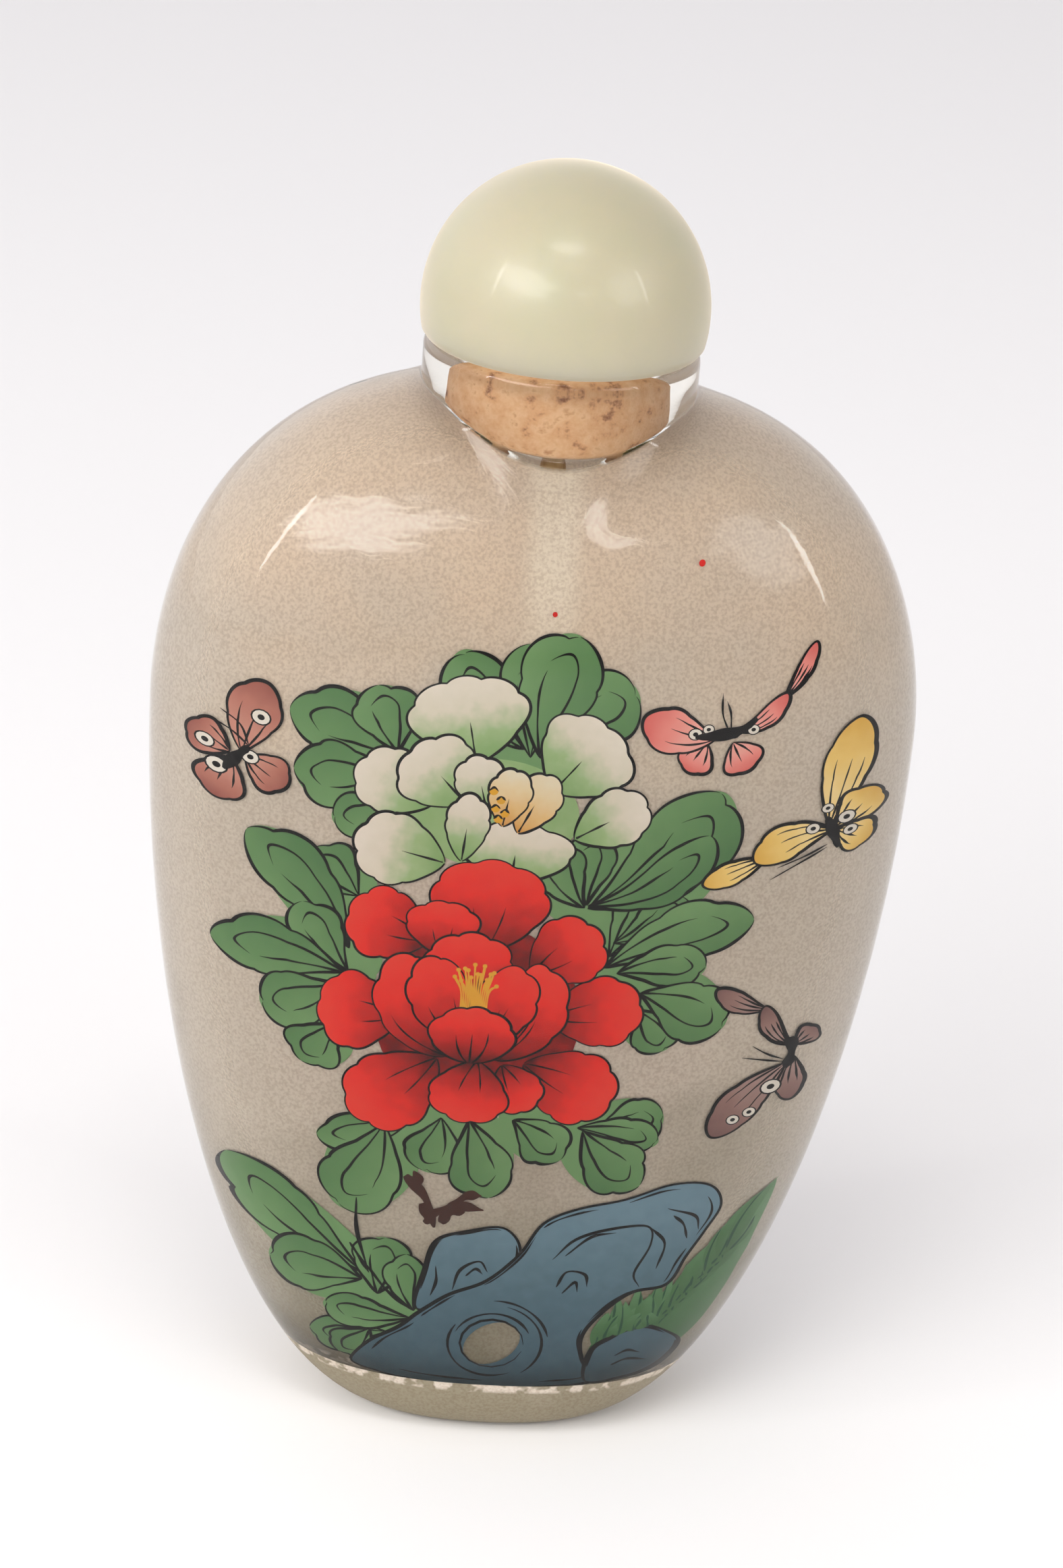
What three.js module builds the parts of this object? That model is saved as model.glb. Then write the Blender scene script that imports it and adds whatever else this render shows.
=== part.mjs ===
// An inside-painted glass snuff bottle: a flattened, broad-shouldered glass body on an oval foot,
// with a round neck, closed by a stone stopper whose cork plug carries a small snuff spoon.
// Millimetres, +Z up, origin at the centre of the foot's underside, broad painted face towards -Y.
import * as THREE from "three";

// Body, outside
const BODY_WIDTH = 50;
const BODY_DEPTH = 26;
const WIDEST_HEIGHT = 50;
const BODY_TOP = 72.6;
const FOOT_WIDTH = 16.6;
const FOOT_DEPTH = 10.8;
const SECTION_POWER = 2.35;

// The lower wall swells from the foot to the widest section, and the shoulder closes over it
const SWELL_POWER = 1.8;
const WIDTH_FULLNESS = 0.53;
const DEPTH_FULLNESS = 0.28;
const SHOULDER_FULLNESS = 0.36;

// Cavity, which leaves a glass wall of true thickness all round
const SIDE_WALL = 3.2;
const FACE_WALL = 2.8;
const FLOOR_THICKNESS = 3.5;
const SHOULDER_WALL = 3.2;
const FLOOR_WIDTH = 16.4;
const FLOOR_DEPTH = 10.4;

// Neck
const NECK_RADIUS = 8.8;
const LIP_HEIGHT = 75.1;
const LIP_ROUND = 0.8;
const BORE_RADIUS = 4.6;
const MOUTH_ROUND = 0.3;
const NECK_FILLET = 1.8;
const BORE_FILLET = 1.4;

// Stopper: a ball cut flat below its middle, seated on the lip
const CAP_RADIUS = 9.2;
const CAP_CUT_BELOW_MIDDLE = 2.2;
const CAP_EDGE_ROUND = 0.4;
const CORK_RADIUS_TOP = 4.5;
const CORK_RADIUS_BOTTOM = 4.3;
const CORK_LENGTH = 6.2;
const CORK_EDGE_ROUND = 0.3;

// Snuff spoon, a thin stem with a small flat scoop, glued under the cork
const SPOON_LENGTH = 34;
const STEM_RADIUS = 0.8;
const SCOOP_LENGTH = 7;
const SCOOP_HALF_WIDTH = 1.6;
const SCOOP_HALF_THICKNESS = 0.45;

// Facets
const BODY_SEGMENTS = 60;
const ROUND_SEGMENTS = 40;
const STEM_SEGMENTS = 12;
const WALL_RINGS = 13;
const SHOULDER_RINGS = 14;
const EDGE_STEPS = 3;
const CAP_STEPS = 14;
const SCOOP_STEPS = 8;

const HALF_PI = Math.PI / 2;

const glass = new THREE.MeshStandardMaterial({
  name: "glass",
  color: "#cfc8ba",
  roughness: 0.12,
  transparent: true,
  opacity: 0.4,
});
const stone = new THREE.MeshStandardMaterial({ name: "stone", color: "#dcd7b8", roughness: 0.15 });
const cork = new THREE.MeshStandardMaterial({ name: "cork", color: "#b9814f", roughness: 0.9 });
const bamboo = new THREE.MeshStandardMaterial({ name: "bamboo", color: "#e3c68c", roughness: 0.5 });

const steps = (count) => Array.from({ length: count + 1 }, (_, i) => i / count);

// The larger of two radii, with a fillet where they are nearly equal
function filletedMax(a, b, fillet) {
  const near = Math.max(fillet - Math.abs(a - b), 0) / fillet;
  return Math.max(a, b) + (near * near * fillet) / 4;
}

// Half width and half depth of a flattened body at height z: a wall that swells up to the widest section,
// sooner towards the front and back than to the sides, and a shoulder that closes over it
function bodySection(z, body) {
  if (z >= body.top) return [0, 0];
  if (z > WIDEST_HEIGHT) {
    const climbed = (z - WIDEST_HEIGHT) / (body.top - WIDEST_HEIGHT);
    const closing = Math.pow(1 - climbed * climbed, SHOULDER_FULLNESS);
    return [body.halfWidth * closing, body.halfDepth * closing];
  }
  const below = (WIDEST_HEIGHT - z) / (WIDEST_HEIGHT - body.bottom);
  const swell = Math.max(1 - Math.pow(below, SWELL_POWER), 0);
  return [
    THREE.MathUtils.lerp(body.footHalfWidth, body.halfWidth, Math.pow(swell, WIDTH_FULLNESS)),
    THREE.MathUtils.lerp(body.footHalfDepth, body.halfDepth, Math.pow(swell, DEPTH_FULLNESS)),
  ];
}

// Distance from the axis to the oval section at height z, in the direction (across, deep)
function ovalRadius(z, body, across, deep) {
  const [halfWidth, halfDepth] = bodySection(z, body);
  if (halfWidth === 0) return 0;
  const x = Math.pow(Math.abs(across) / halfWidth, SECTION_POWER);
  const y = Math.pow(Math.abs(deep) / halfDepth, SECTION_POWER);
  return Math.pow(x + y, -1 / SECTION_POWER);
}

const outside = {
  halfWidth: BODY_WIDTH / 2,
  halfDepth: BODY_DEPTH / 2,
  footHalfWidth: FOOT_WIDTH / 2,
  footHalfDepth: FOOT_DEPTH / 2,
  bottom: 0,
  top: BODY_TOP,
};
const cavity = {
  halfWidth: BODY_WIDTH / 2 - SIDE_WALL,
  halfDepth: BODY_DEPTH / 2 - FACE_WALL,
  footHalfWidth: FLOOR_WIDTH / 2,
  footHalfDepth: FLOOR_DEPTH / 2,
  bottom: FLOOR_THICKNESS,
  top: BODY_TOP - SHOULDER_WALL,
};

// Heights of the rings from a body's foot to its top, close together where the outline turns
function ringHeights(body) {
  const wall = steps(WALL_RINGS).map((s) => {
    const below = Math.pow(Math.cos(s * HALF_PI), 1.4);
    return WIDEST_HEIGHT - (WIDEST_HEIGHT - body.bottom) * below;
  });
  const shoulder = steps(SHOULDER_RINGS)
    .slice(1)
    .map((s) => WIDEST_HEIGHT + (body.top - WIDEST_HEIGHT) * Math.sin(s * HALF_PI));
  return [...wall, ...shoulder];
}

// A quarter round between two directions, as points (radius, height) about its centre
function quarterRound(centreRadius, centreHeight, round, fromAngle, toAngle) {
  return steps(EDGE_STEPS).map((s) => {
    const angle = THREE.MathUtils.lerp(fromAngle, toAngle, s);
    return new THREE.Vector2(centreRadius + round * Math.cos(angle), centreHeight + round * Math.sin(angle));
  });
}

// A lathe turned about Z, each ring then drawn out to the radius that its section has in that direction
function reshapedLathe(rings, segments, squeeze) {
  const profile = rings.map((ring) => new THREE.Vector2(ring.radius(1, 0), ring.z));
  const geometry = new THREE.LatheGeometry(profile, segments);
  const position = geometry.getAttribute("position");
  for (let i = 0; i <= segments; i++) {
    const turn = ((i % segments) / segments) * 2 * Math.PI;
    const direction = new THREE.Vector2(Math.sin(turn), -Math.cos(turn) * squeeze).normalize();
    rings.forEach((ring, j) => {
      const r = ring.radius(direction.x, direction.y);
      position.setXYZ(i * rings.length + j, r * direction.x, r * direction.y, ring.z);
    });
  }
  return geometry;
}

const roundRing = (point) => ({ z: point.y, radius: () => point.x });

function bottleGeometry() {
  const outerRing = (z) => ({
    z,
    radius: (x, y) => {
      const oval = ovalRadius(z, outside, x, y);
      return z < WIDEST_HEIGHT ? oval : filletedMax(oval, NECK_RADIUS, NECK_FILLET);
    },
  });
  const innerRing = (z) => ({
    z,
    radius: (x, y) => {
      const oval = ovalRadius(z, cavity, x, y);
      return z < WIDEST_HEIGHT ? oval : filletedMax(oval, BORE_RADIUS, BORE_FILLET);
    },
  });
  const lipEdge = quarterRound(NECK_RADIUS - LIP_ROUND, LIP_HEIGHT - LIP_ROUND, LIP_ROUND, 0, HALF_PI);
  const mouthEdge = quarterRound(
    BORE_RADIUS + MOUTH_ROUND,
    LIP_HEIGHT - MOUTH_ROUND,
    MOUTH_ROUND,
    HALF_PI,
    Math.PI,
  );
  const axisPoint = (z) => ({ z, radius: () => 0 });
  const rings = [
    axisPoint(0),
    ...ringHeights(outside).map(outerRing),
    ...lipEdge.map(roundRing),
    ...mouthEdge.map(roundRing),
    ...ringHeights(cavity).reverse().map(innerRing),
    axisPoint(FLOOR_THICKNESS),
  ];
  return reshapedLathe(rings, BODY_SEGMENTS, BODY_DEPTH / BODY_WIDTH + 0.2);
}

// The stopper's pieces are turned about its own origin, the middle of its seat on the lip
function capGeometry() {
  const cutRadius = Math.sqrt(CAP_RADIUS ** 2 - CAP_CUT_BELOW_MIDDLE ** 2);
  const startAngle = -Math.asin((CAP_CUT_BELOW_MIDDLE - CAP_EDGE_ROUND) / CAP_RADIUS);
  const ball = steps(CAP_STEPS).map((s) => {
    const angle = THREE.MathUtils.lerp(startAngle, HALF_PI, s);
    const height = CAP_CUT_BELOW_MIDDLE + CAP_RADIUS * Math.sin(angle);
    return new THREE.Vector2(CAP_RADIUS * Math.cos(angle), height);
  });
  ball[CAP_STEPS].x = 0;
  const edge = quarterRound(cutRadius - CAP_EDGE_ROUND, CAP_EDGE_ROUND, CAP_EDGE_ROUND, -HALF_PI, 0);
  const rings = [new THREE.Vector2(0, 0), ...edge.slice(0, EDGE_STEPS), ...ball];
  return reshapedLathe(rings.map(roundRing), ROUND_SEGMENTS, 1);
}

function corkGeometry() {
  const edgeCentre = CORK_RADIUS_BOTTOM - CORK_EDGE_ROUND;
  const foot = quarterRound(edgeCentre, CORK_EDGE_ROUND - CORK_LENGTH, CORK_EDGE_ROUND, -HALF_PI, 0);
  const rings = [
    new THREE.Vector2(0, -CORK_LENGTH),
    ...foot,
    new THREE.Vector2(CORK_RADIUS_TOP, 0),
    new THREE.Vector2(0, 0),
  ];
  return reshapedLathe(rings.map(roundRing), ROUND_SEGMENTS, 1);
}

// The stem hangs down from its own origin, and its end swells into a flat scoop
function spoonGeometry() {
  const scoop = steps(SCOOP_STEPS).map((s) => {
    const outline = Math.sqrt(Math.sin(s * HALF_PI));
    const shrink = THREE.MathUtils.smoothstep(s, 0.55, 1);
    const halfWidth = THREE.MathUtils.lerp(SCOOP_HALF_WIDTH, STEM_RADIUS, shrink) * outline;
    const halfThickness = THREE.MathUtils.lerp(SCOOP_HALF_THICKNESS, STEM_RADIUS, shrink) * outline;
    return {
      z: SCOOP_LENGTH * s - SPOON_LENGTH,
      radius: (x, y) => (s === 0 ? 0 : 1 / Math.hypot(x / halfWidth, y / halfThickness)),
    };
  });
  const rings = [...scoop, roundRing(new THREE.Vector2(STEM_RADIUS, 0)), roundRing(new THREE.Vector2(0, 0))];
  return reshapedLathe(rings, STEM_SEGMENTS, 1);
}

function namedMesh(name, geometry, material) {
  const mesh = new THREE.Mesh(geometry, material);
  mesh.name = name;
  return mesh;
}

const spoon = namedMesh("snuff_spoon", spoonGeometry(), bamboo);
spoon.position.z = -CORK_LENGTH;

const stopper = new THREE.Group();
stopper.name = "stopper";
stopper.position.z = LIP_HEIGHT;
stopper.add(
  namedMesh("stopper_cap", capGeometry(), stone),
  namedMesh("stopper_cork", corkGeometry(), cork),
  spoon,
);

const snuffBottle = new THREE.Group();
snuffBottle.name = "snuff_bottle";
snuffBottle.add(namedMesh("bottle", bottleGeometry(), glass), stopper);

export default snuffBottle;
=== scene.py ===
"""A glass snuff bottle painted on its inner wall, with its stopper, cork and spoon, in a small studio."""

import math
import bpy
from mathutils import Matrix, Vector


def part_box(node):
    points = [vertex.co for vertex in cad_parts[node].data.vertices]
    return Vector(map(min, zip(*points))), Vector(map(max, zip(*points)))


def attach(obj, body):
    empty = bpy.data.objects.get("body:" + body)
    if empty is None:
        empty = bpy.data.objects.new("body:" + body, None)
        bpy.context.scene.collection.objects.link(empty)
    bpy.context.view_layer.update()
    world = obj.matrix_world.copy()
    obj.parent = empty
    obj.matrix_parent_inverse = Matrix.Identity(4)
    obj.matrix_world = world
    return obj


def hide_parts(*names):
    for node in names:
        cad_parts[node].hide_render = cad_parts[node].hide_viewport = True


bl_info = {
    "name": "Inside-painted snuff bottle",
    "version": (1, 0, 0),
    "blender": (4, 5, 0),
    "location": "View3D > Sidebar > Snuff bottle",
    "description": "Builds a flattened glass snuff bottle, painted inside, and a studio around it",
    "category": "Add Mesh",
}

import bpy
import numpy as np
from bpy.props import FloatProperty, FloatVectorProperty, PointerProperty
from bpy.types import Operator, Panel, PropertyGroup
from mathutils import Matrix, Vector
from mathutils.geometry import delaunay_2d_cdt

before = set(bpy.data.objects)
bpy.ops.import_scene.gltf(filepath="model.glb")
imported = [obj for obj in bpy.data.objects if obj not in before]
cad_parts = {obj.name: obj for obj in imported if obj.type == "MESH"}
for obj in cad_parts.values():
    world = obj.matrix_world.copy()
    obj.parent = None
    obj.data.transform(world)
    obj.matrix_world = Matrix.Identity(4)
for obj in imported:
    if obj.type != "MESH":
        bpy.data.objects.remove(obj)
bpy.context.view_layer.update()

MM = 0.001
BOTTLE_LOW, BOTTLE_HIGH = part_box("bottle")
CAP_LOW, CAP_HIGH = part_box("stopper_cap")
CORK_LOW, CORK_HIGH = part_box("stopper_cork")
SPOON_LOW, SPOON_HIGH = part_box("snuff_spoon")

# Proportions of the body that its box doesn't give, in millimetres and plain powers
WIDEST_HEIGHT = 50.0
BODY_TOP = 72.6
SECTION_POWER = 2.35
SWELL_POWER = 1.8
WIDTH_FULLNESS = 0.53
DEPTH_FULLNESS = 0.28
SHOULDER_FULLNESS = 0.36
NECK_FILLET = 1.8
BORE_FILLET = 1.4
LIP_ROUND = 0.8
MOUTH_ROUND = 0.3
LIP_FLAT_EDGE = 0.1
FOOT_HALF = (8.3, 5.4)
FLOOR_HALF = (8.2, 5.2)
SHOULDER_WALL = 3.2
# The grit that dulls the inside stops short of the bore by a clear ring with a soft edge
CLEAR_RING = 0.6
CLEAR_FADE = 0.3
# The foot is dull outside up to this height, and a painted highlight runs pale along its top over a line
# this wide to each side
FOOT_BAND = 4.75
HIGHLIGHT_LINE = 0.45
# The paint lies against the glass, so it is drawn this far inside the wall
PAINT_DEPTH = 0.14

# Fineness of the meshes: points round a ring, rings up a wall and over a shoulder, points along a petal,
# steps from point to point of a smooth line, and points over a rounded edge
BODY_SEGMENTS = 216
ROUND_SEGMENTS = 96
WALL_RINGS = 48
SHOULDER_RINGS = 56
CAVITY_SHOULDER_RINGS = 48
SPINE_POINTS = 44
SPLINE_STEPS = 6
EDGE_POINTS = 7
# Rings crowd toward the foot, and points of a ring toward the narrow sides
RING_CROWDING = 1.4
SIDE_CROWDING = 0.72
# A flat face ends in a narrow ring, from this share of its reach outward
FLAT_SHARE = 0.97


def linear(hex_colour):
    """The linear RGBA of an sRGB hex colour."""
    channels = [int(hex_colour[i : i + 2], 16) / 255 for i in (1, 3, 5)]
    return (*[c / 12.92 if c <= 0.04045 else ((c + 0.055) / 1.055) ** 2.4 for c in channels], 1.0)


def length(name, default_mm, description):
    """A length that a user can change, kept in metres."""
    return FloatProperty(
        name=name,
        description=description,
        default=default_mm * MM,
        min=0.0,
        precision=4,
        unit="LENGTH",
        subtype="DISTANCE",
    )


def colour(name, default_hex, description):
    """A colour that a user can change, kept linear."""
    return FloatVectorProperty(
        name=name,
        description=description,
        default=linear(default_hex),
        size=4,
        min=0.0,
        max=1.0,
        subtype="COLOR",
    )


class BottleSizes(PropertyGroup):
    """Sizes that a maker would change"""

    width: length("Width", (BOTTLE_HIGH.x - BOTTLE_LOW.x) / MM, "Width of the body across its painted face")
    depth: length("Depth", (BOTTLE_HIGH.y - BOTTLE_LOW.y) / MM, "Depth of the body from front to back")
    lip_height: length("Lip height", BOTTLE_HIGH.z / MM, "Height of the lip above the foot")
    neck_radius: length("Neck radius", 8.8, "Outer radius of the neck")
    bore_radius: length("Bore radius", 4.6, "Radius of the hole that the cork closes")
    side_wall: length("Side wall", 3.2, "Glass thickness at the narrow sides")
    face_wall: length("Face wall", 2.8, "Glass thickness at the painted face")
    floor_thickness: length("Floor", 3.5, "Glass thickness under the cavity")
    ink_width: length("Ink line", 0.23, "Width of the inked outlines")


class BottleColours(PropertyGroup):
    """Colours that a maker would change"""

    # The foot's tone is painted shade, darker than the wall, and the shoulder's is painted light, paler and
    # warmer
    frost_foot_shade: colour("Frosted foot", "#9c9178", "Ground glass near the foot")
    frost_wall: colour("Frosted wall", "#dfd1c0", "Ground glass of the wall")
    frost_shoulder_light: colour("Frosted shoulder", "#f0d9bf", "Ground glass of the shoulder")
    stone: colour("Stone", "#c6bda1", "Polished stone of the cap")
    stone_cloud: colour("Stone cloud", "#bdba9b", "Greener clouds in the stone")
    cork: colour("Cork", "#daa576", "Cork granules")
    bamboo: colour("Bamboo", "#e8c987", "Spoon stem")
    floor: colour("Floor", "#f1efec", "Matt floor of the studio")


# Materials

CLEAR_GLASS = "#fbfaf4"
GLASS_IOR = 1.5
# In millimetres: the heights between which the ground glass turns from the foot's darker painted shade to
# the shoulder's paler, warmer painted light
FROST_START = 4.0
FROST_END = 66.0
# Painted light of the spoon seen through the front, a paler streak: half widths of its core and of its soft
# edge, and the heights over which it comes in
SPOON_LIGHT_CORE = 0.6
SPOON_LIGHT_EDGE = 2.4
SPOON_LIGHT_LOW = 52.0
SPOON_LIGHT_HIGH = 62.0


def add_node(tree, kind, inputs=None, stops=None, **settings):
    """Adds a node with its settings and ramp stops, and sets or links its inputs."""
    node = tree.nodes.new(kind)
    for name, value in settings.items():
        setattr(node, name, value)
    if stops:
        ramp = node.color_ramp
        while len(ramp.elements) < len(stops):
            ramp.elements.new(1.0)
        for element, (position, rgba) in zip(ramp.elements, stops):
            element.position, element.color = position, rgba
    for name, value in (inputs or {}).items():
        if isinstance(value, bpy.types.NodeSocket):
            tree.links.new(value, node.inputs[name])
        else:
            node.inputs[name].default_value = value
    return node


def new_material(name):
    material = bpy.data.materials.new(name)
    material.use_nodes = True
    material.node_tree.nodes.clear()
    return material, material.node_tree


def per_metre(size_mm):
    """The texture scale that makes a pattern of this size."""
    return 1.0 / (size_mm * MM)


def polished_glass():
    # Soda-lime glass, ground to shape and polished: see-through, with sharp reflections
    material, tree = new_material("soda-lime glass, polished")
    place = add_node(tree, "ShaderNodeTexCoord").outputs["Object"]
    # Hand polishing leaves ripples of about 5 mm that wrinkle the reflections
    ripples = add_node(
        tree,
        "ShaderNodeTexNoise",
        {"Vector": place, "Scale": per_metre(5.0), "Detail": 1.0, "Distortion": 0.6},
    ).outputs["Fac"]
    bump = add_node(
        tree, "ShaderNodeBump", {"Height": ripples, "Strength": 1.0, "Distance": 0.08 * MM}
    ).outputs["Normal"]
    # Its gloss is a little weaker than bare glass gives, or the pale floor would veil the picture
    shader = add_node(
        tree,
        "ShaderNodeBsdfPrincipled",
        {
            "Base Color": linear(CLEAR_GLASS),
            "Roughness": 0.0,
            "IOR": GLASS_IOR,
            "Transmission Weight": 1.0,
            "Specular Tint": linear("#cbcbcb"),
            "Normal": bump,
        },
    ).outputs["BSDF"]
    add_node(tree, "ShaderNodeOutputMaterial", {"Surface": shader})
    return material


def frost_tone_and_painted_shade(tree, place, height, colours):
    """The ground glass's colour in soft patches, darker toward the foot as painted shade and paler and
    warmer toward the shoulder as painted light.
    """
    risen = add_node(
        tree,
        "ShaderNodeMapRange",
        {"Value": height, "From Min": FROST_START * MM, "From Max": FROST_END * MM},
    ).outputs["Result"]
    # Patches of about 9 mm where the grit bit more or less
    patches = add_node(
        tree, "ShaderNodeTexNoise", {"Vector": place, "Scale": per_metre(9.0), "Detail": 2.0}
    ).outputs["Fac"]
    shifted = add_node(
        tree, "ShaderNodeMath", {0: patches, 1: 0.5, 2: -0.25}, operation="MULTIPLY_ADD"
    ).outputs["Value"]
    reach = add_node(tree, "ShaderNodeMath", {0: risen, 1: shifted}, operation="ADD").outputs["Value"]
    # Painted shade at the foot's end of the ramp, painted light at the shoulder's end
    return add_node(
        tree,
        "ShaderNodeValToRGB",
        {"Fac": reach},
        stops=[
            (0.05, colours.frost_foot_shade),
            (0.4, colours.frost_wall),
            (0.75, colours.frost_wall),
            (1.0, colours.frost_shoulder_light),
        ],
    ).outputs["Color"]


def painted_spoon_light(tree, across, deep, height, ground):
    """The ground colour with painted light: a paler streak on the front where the spoon's stem shows
    through.
    """
    aside = add_node(tree, "ShaderNodeMath", {0: across}, operation="ABSOLUTE").outputs["Value"]
    stem = add_node(
        tree,
        "ShaderNodeMapRange",
        {"Value": aside, "From Min": SPOON_LIGHT_EDGE * MM, "From Max": SPOON_LIGHT_CORE * MM},
        interpolation_type="SMOOTHSTEP",
    ).outputs["Result"]
    upper = add_node(
        tree,
        "ShaderNodeMapRange",
        {"Value": height, "From Min": SPOON_LIGHT_LOW * MM, "From Max": SPOON_LIGHT_HIGH * MM},
    ).outputs["Result"]
    before = add_node(tree, "ShaderNodeMath", {0: deep, 1: 0.0}, operation="LESS_THAN").outputs["Value"]
    upper = add_node(tree, "ShaderNodeMath", {0: upper, 1: before}, operation="MULTIPLY").outputs["Value"]
    streak = add_node(tree, "ShaderNodeMath", {0: stem, 1: upper}, operation="MULTIPLY").outputs["Value"]
    # Painted light: the pale colour that the spoon's streak blends toward
    return add_node(
        tree, "ShaderNodeMix", {0: streak, 6: ground, 7: linear("#fff0da")}, data_type="RGBA"
    ).outputs[2]


def painted_edge_highlight(tree, place, height, ground):
    """The ground colour with a painted highlight: a pale, broken line along the top of the dull foot, where
    the cavity floor's edge catches light.
    """
    from_line = add_node(
        tree, "ShaderNodeMath", {0: height, 1: (FOOT_BAND - HIGHLIGHT_LINE) * MM}, operation="SUBTRACT"
    ).outputs["Value"]
    off_line = add_node(tree, "ShaderNodeMath", {0: from_line}, operation="ABSOLUTE").outputs["Value"]
    # Breaks of about 1 mm in the painted highlight
    line_breaks = add_node(
        tree, "ShaderNodeTexNoise", {"Vector": place, "Scale": per_metre(1.0), "Detail": 2.0}
    ).outputs["Fac"]
    broken_up = add_node(
        tree, "ShaderNodeMapRange", {"Value": line_breaks, "From Min": 0.46, "From Max": 0.56}
    ).outputs["Result"]
    highlit = add_node(
        tree,
        "ShaderNodeMapRange",
        {
            "Value": off_line,
            "From Min": HIGHLIGHT_LINE * MM,
            "From Max": 0.5 * HIGHLIGHT_LINE * MM,
            "To Max": broken_up,
        },
    ).outputs["Result"]
    # Painted highlight: the pale colour that the line blends toward
    return add_node(
        tree, "ShaderNodeMix", {0: highlit, 6: ground, 7: linear("#e6d9c8")}, data_type="RGBA"
    ).outputs[2]


def ground_share(tree, place, height, bore_radius):
    """1 where the wall is ground, and 0 in the bore and the clear ring round it."""
    level = add_node(
        tree, "ShaderNodeVectorMath", {0: place, 1: (1.0, 1.0, 0.0)}, operation="MULTIPLY"
    ).outputs["Vector"]
    away = add_node(tree, "ShaderNodeVectorMath", {0: level}, operation="LENGTH").outputs["Value"]
    edge = bore_radius + CLEAR_RING * MM
    past_ring = add_node(
        tree, "ShaderNodeMapRange", {"Value": away, "From Min": edge - CLEAR_FADE * MM, "From Max": edge}
    ).outputs["Result"]
    under_shoulder = add_node(
        tree, "ShaderNodeMath", {0: height, 1: WIDEST_HEIGHT * MM}, operation="LESS_THAN"
    ).outputs["Value"]
    return add_node(
        tree, "ShaderNodeMath", {0: past_ring, 1: under_shoulder}, operation="MAXIMUM"
    ).outputs["Value"]


def frosted_glass(sizes, colours):
    # The same glass, ground dull with loose grit: milky and speckled, with painted shade darker toward the
    # foot and painted light paler and warmer toward the shoulder
    material, tree = new_material("soda-lime glass, grit-ground")
    place = add_node(tree, "ShaderNodeTexCoord").outputs["Object"]
    across, deep, height = add_node(tree, "ShaderNodeSeparateXYZ", {"Vector": place}).outputs
    ground = frost_tone_and_painted_shade(tree, place, height, colours)
    # Painted light: a pale streak for the spoon's stem seen through the front
    ground = painted_spoon_light(tree, across, deep, height, ground)
    # Painted highlight: a pale broken line along the top of the foot
    ground = painted_edge_highlight(tree, place, height, ground)
    # Grit pits of about 0.1 mm, drawn at 0.2 mm so that they show
    pits = add_node(
        tree, "ShaderNodeTexNoise", {"Vector": place, "Scale": per_metre(0.2), "Detail": 2.0}
    ).outputs["Fac"]
    grain = add_node(
        tree,
        "ShaderNodeValToRGB",
        {"Fac": pits},
        stops=[(0.35, linear("#e8e3de")), (0.6, linear("#ffffff"))],
    ).outputs["Color"]
    speckled = add_node(
        tree, "ShaderNodeMix", {0: 1.0, 6: ground, 7: grain}, data_type="RGBA", blend_type="MULTIPLY"
    ).outputs[2]
    bump = add_node(
        tree, "ShaderNodeBump", {"Height": pits, "Strength": 0.5, "Distance": 0.05 * MM}
    ).outputs["Normal"]
    frosted = add_node(
        tree,
        "ShaderNodeBsdfPrincipled",
        {
            "Base Color": speckled,
            "Roughness": 0.6,
            "IOR": GLASS_IOR,
            "Transmission Weight": 0.25,
            "Normal": bump,
        },
    ).outputs["BSDF"]
    clear = add_node(
        tree,
        "ShaderNodeBsdfPrincipled",
        {
            "Base Color": linear(CLEAR_GLASS),
            "Roughness": 0.0,
            "IOR": GLASS_IOR,
            "Transmission Weight": 1.0,
        },
    ).outputs["BSDF"]
    share = ground_share(tree, place, height, sizes.bore_radius)
    mixed = add_node(tree, "ShaderNodeMixShader", {0: share, 1: clear, 2: frosted}).outputs["Shader"]
    add_node(tree, "ShaderNodeOutputMaterial", {"Surface": mixed})
    return material


def polished_stone(colours):
    # Pale serpentine, turned and polished: waxy, cloudy and translucent, with a soft gloss
    material, tree = new_material("pale serpentine, polished")
    place = add_node(tree, "ShaderNodeTexCoord").outputs["Object"]
    # Clouds of about 9 mm in the stone
    clouds = add_node(
        tree,
        "ShaderNodeTexNoise",
        {"Vector": place, "Scale": per_metre(9.0), "Detail": 3.0, "Roughness": 0.6},
    ).outputs["Fac"]
    tone = add_node(
        tree,
        "ShaderNodeValToRGB",
        {"Fac": clouds},
        stops=[(0.35, colours.stone), (0.7, colours.stone_cloud)],
    ).outputs["Color"]
    shader = add_node(
        tree,
        "ShaderNodeBsdfPrincipled",
        {
            "Base Color": tone,
            "Roughness": 0.4,
            "IOR": 1.56,
            "Transmission Weight": 0.3,
            "Subsurface Weight": 1.0,
            "Subsurface Radius": (1.0, 0.95, 0.7),
            "Subsurface Scale": 8.0 * MM,
            "Coat Weight": 0.2,
            "Coat Roughness": 0.05,
            "Sheen Weight": 0.8,
            "Sheen Roughness": 0.35,
            "Sheen Tint": linear("#fff0d6"),
        },
    ).outputs["BSDF"]
    add_node(tree, "ShaderNodeOutputMaterial", {"Surface": shader})
    return material


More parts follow.
